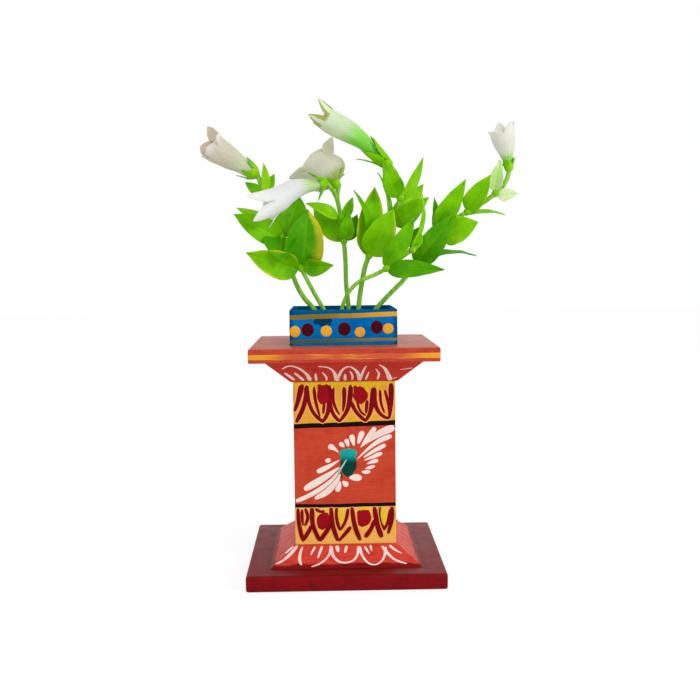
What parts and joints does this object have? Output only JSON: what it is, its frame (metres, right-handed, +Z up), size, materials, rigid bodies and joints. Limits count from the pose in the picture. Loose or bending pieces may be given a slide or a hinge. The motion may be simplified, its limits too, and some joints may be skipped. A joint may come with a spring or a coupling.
{
  "type": "tulsi vrindavan planter",
  "caption": "Small painted wooden tulsi pedestal: stepped base, square pillar, flared capital and an open box that holds a lift-out plastic flower spray.",
  "frame": {"origin": "middle of the base board's underside", "axes": "+Z up, +X to the right of the painted front, +Y away from the front"},
  "size_m": [0.1697, 0.1, 0.2462],
  "materials": {
    "maroon_paint": "gloss enamel, brushed, over wood",
    "coral_paint": "gloss enamel, brushed, over wood",
    "pillar_paint": "gloss enamel, brushed, over wood, with painted bands",
    "salmon_paint": "gloss enamel, brushed, over wood",
    "blue_paint": "gloss enamel, brushed, over wood",
    "bare_wood": "unpainted softwood",
    "nail_steel": "plain wire nails",
    "foam": "dry green flower foam",
    "stem_plastic": "moulded plastic, satin",
    "leaf_plastic": "moulded plastic, satin",
    "petal_plastic": "thin translucent plastic, satin"
  },
  "bodies": {
    "stand": {"base_board": "maroon_paint", "base_nails": "nail_steel", "capital_block": "coral_paint", "capital_board": "salmon_paint", "capital_nails": "nail_steel", "pillar": "pillar_paint", "planter_back": "blue_paint", "planter_brads": "nail_steel", "planter_floor": "bare_wood", "planter_front": "blue_paint", "planter_left": "blue_paint", "planter_right": "blue_paint", "skirt": "coral_paint"},
    "plant": {"calyx_left": "leaf_plastic", "calyx_low": "leaf_plastic", "calyx_middle": "leaf_plastic", "calyx_right": "leaf_plastic", "calyx_top": "leaf_plastic", "flower_left": "petal_plastic", "flower_low": "petal_plastic", "flower_middle": "petal_plastic", "flower_right": "petal_plastic", "flower_top": "petal_plastic", "foam_plug": "foam", "leaves_a_top": "leaf_plastic", "leaves_b_low": "leaf_plastic", "leaves_b_top": "leaf_plastic", "leaves_c_low": "leaf_plastic", "leaves_c_top": "leaf_plastic", "leaves_d_low": "leaf_plastic", "leaves_d_top": "leaf_plastic", "leaves_e_low": "leaf_plastic", "leaves_e_middle": "leaf_plastic", "leaves_e_top": "leaf_plastic", "leaves_f_bract": "leaf_plastic", "leaves_f_low": "leaf_plastic", "leaves_f_middle": "leaf_plastic", "leaves_f_top": "leaf_plastic", "stem_a": "stem_plastic", "stem_b": "stem_plastic", "stem_c": "stem_plastic", "stem_d": "stem_plastic", "stem_e": "stem_plastic", "stem_f": "stem_plastic"}
  },
  "joints": [
    {"name": "plant_lift", "type": "slide", "parent": "stand", "child": "plant", "axis": [0, 0, 1], "range_m": [0, 0.04]}
  ]
}
